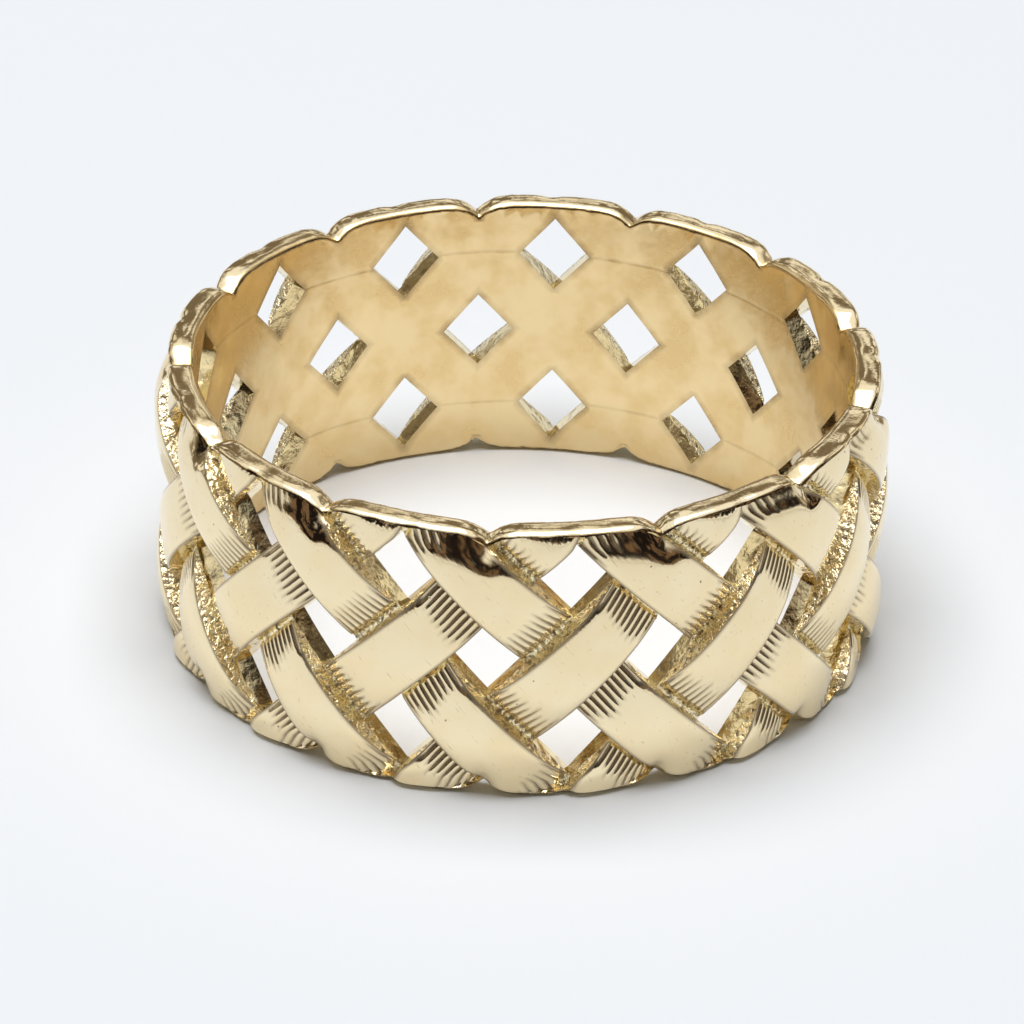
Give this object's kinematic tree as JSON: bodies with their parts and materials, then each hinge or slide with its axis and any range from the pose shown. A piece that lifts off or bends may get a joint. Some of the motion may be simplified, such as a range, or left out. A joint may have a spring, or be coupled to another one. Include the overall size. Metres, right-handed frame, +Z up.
{
  "type": "woven band ring",
  "caption": "Wide finger ring cast as a basketweave band: flat straps cross over and under each other, with diamond gaps cut through between them.",
  "frame": {"origin": "on the finger axis, at the plane of the lower rim that the ring lies on", "axes": "+Z up along the finger axis from the lower rim to the upper rim, -Y towards the viewer of the picture, +X to their right"},
  "size_m": [0.0212, 0.0212, 0.0085],
  "materials": {
    "gold": "polished"
  },
  "bodies": {
    "root": {"woven_band": "gold"}
  },
  "joints": []
}
